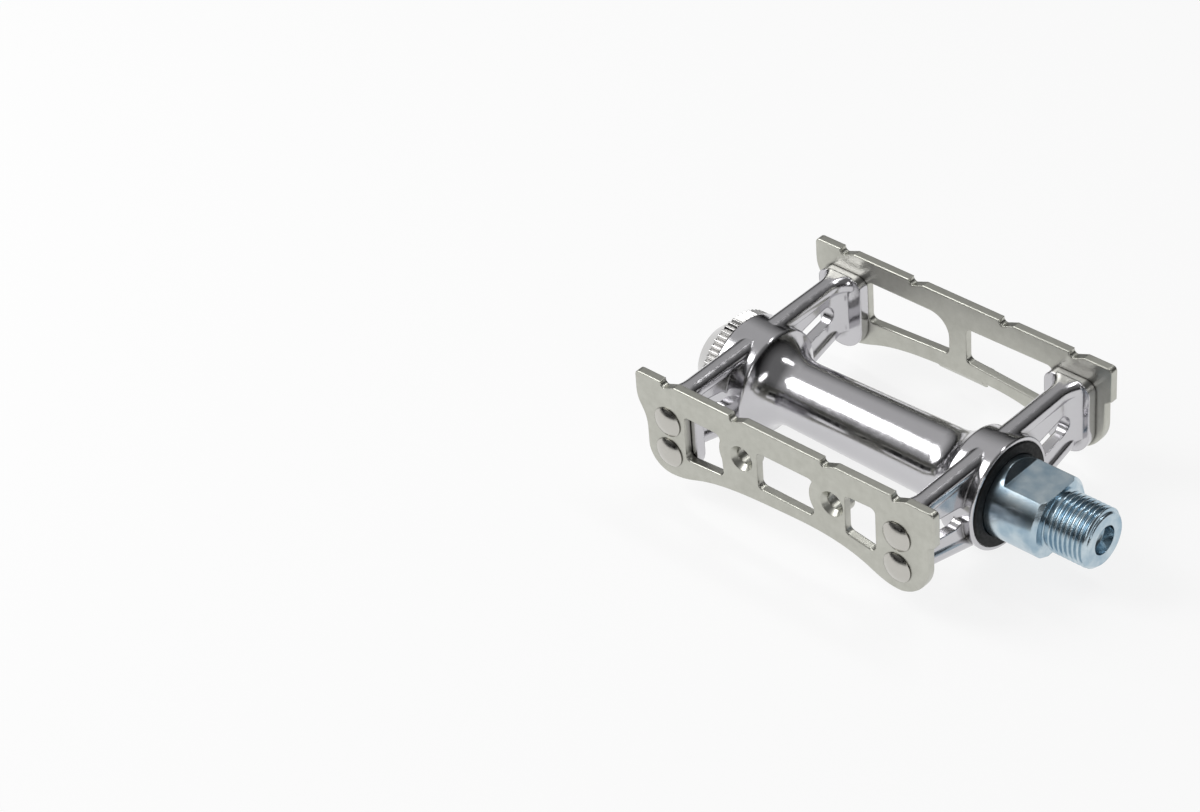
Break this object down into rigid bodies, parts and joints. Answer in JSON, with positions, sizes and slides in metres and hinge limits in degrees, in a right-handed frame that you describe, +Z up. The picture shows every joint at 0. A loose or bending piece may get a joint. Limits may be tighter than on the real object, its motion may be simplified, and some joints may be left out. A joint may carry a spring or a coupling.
{
  "type": "track pedal",
  "caption": "Bicycle track pedal: a polished cast body with riveted notched cage plates turns on a threaded spindle by ball bearings.",
  "frame": {"origin": "centre of the spindle's shoulder face, which seats on the crank arm", "axes": "+X along the spindle, out of the shoulder along the thread, towards the crank; +Z up, with the cage plates' notched edges on top; -Y to the front, where a toe clip bolts on"},
  "size_m": [0.1094, 0.0728, 0.0308],
  "materials": {
    "polished_casting": "mirror-polished aluminium casting",
    "satin_sheet": "satin anodised aluminium sheet, warm grey",
    "rivet_steel": "bright steel, domed heads",
    "zinc_plated_steel": "turned steel with a bluish zinc plate",
    "seal_rubber": "black moulded rubber",
    "polished_cap": "turned and polished aluminium",
    "bearing_steel": "hardened and ground steel",
    "plain_steel": "plain machined steel"
  },
  "bodies": {
    "axle": {"spindle": "zinc_plated_steel", "adjusting_cone": "bearing_steel", "lock_washer": "plain_steel", "locknut": "plain_steel"},
    "cage": {"body": "polished_casting", "front_plate": "satin_sheet", "rear_plate": "satin_sheet", "rivet_1": "rivet_steel", "rivet_2": "rivet_steel", "rivet_3": "rivet_steel", "rivet_4": "rivet_steel", "rivet_5": "rivet_steel", "rivet_6": "rivet_steel", "rivet_7": "rivet_steel", "rivet_8": "rivet_steel", "crank_side_cup": "bearing_steel", "cap_side_cup": "bearing_steel", "dust_cap": "polished_cap", "seal_ring": "seal_rubber"},
    "crank_side_ring": {"crank_side_balls": "bearing_steel"},
    "cap_side_ring": {"cap_side_balls": "bearing_steel"}
  },
  "joints": [
    {"name": "cage_spin", "type": "hinge", "parent": "axle", "child": "cage", "pos_m": [-0.051, 0, 0], "axis": [1, 0, 0], "continuous": true},
    {"name": "crank_side_roll", "type": "hinge", "parent": "axle", "child": "crank_side_ring", "pos_m": [-0.02, 0, 0], "axis": [1, 0, 0], "continuous": true},
    {"name": "cap_side_roll", "type": "hinge", "parent": "axle", "child": "cap_side_ring", "pos_m": [-0.0816, 0, 0], "axis": [1, 0, 0], "continuous": true}
  ],
  "couplings": [
    {"joint": "crank_side_roll", "follows": "cage_spin", "ratio": 0.592},
    {"joint": "cap_side_roll", "follows": "cage_spin", "ratio": 0.597}
  ]
}
